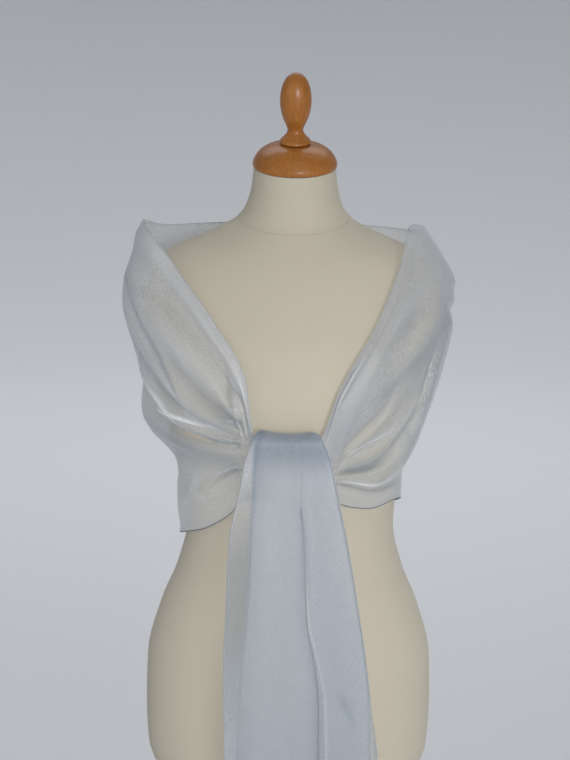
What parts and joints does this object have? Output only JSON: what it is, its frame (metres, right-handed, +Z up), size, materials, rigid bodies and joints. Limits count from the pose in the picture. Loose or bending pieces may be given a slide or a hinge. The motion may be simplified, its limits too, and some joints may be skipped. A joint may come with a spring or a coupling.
{
  "type": "shawl on a dress form",
  "caption": "Long sheer rectangular shawl wrapped round the shoulders of a dress form, its gathered ends held by one folded tail that rolls over them and hangs down in front.",
  "frame": {"origin": "middle of the underside of the stand's round base, on the floor", "axes": "+Z up along the pole, front of the dress form towards -Y, +X towards the right of the front view"},
  "size_m": [0.3971, 0.33, 1.566],
  "materials": {
    "silver_blue_organza": "sheer and soft, with a fine shimmer and a darker rolled hem",
    "cream_jersey": "matte knit stretched over the form",
    "varnished_beech": "turned and varnished, satin",
    "grey_paint": "satin"
  },
  "bodies": {
    "root": {"shawl_wing_left": "silver_blue_organza", "shawl_back": "silver_blue_organza", "shawl_wing_right": "silver_blue_organza", "shawl_tail": "silver_blue_organza", "form_torso": "cream_jersey", "neck_cap": "varnished_beech", "cap_finial": "varnished_beech", "stand_pole": "grey_paint", "stand_base": "grey_paint"}
  },
  "joints": []
}
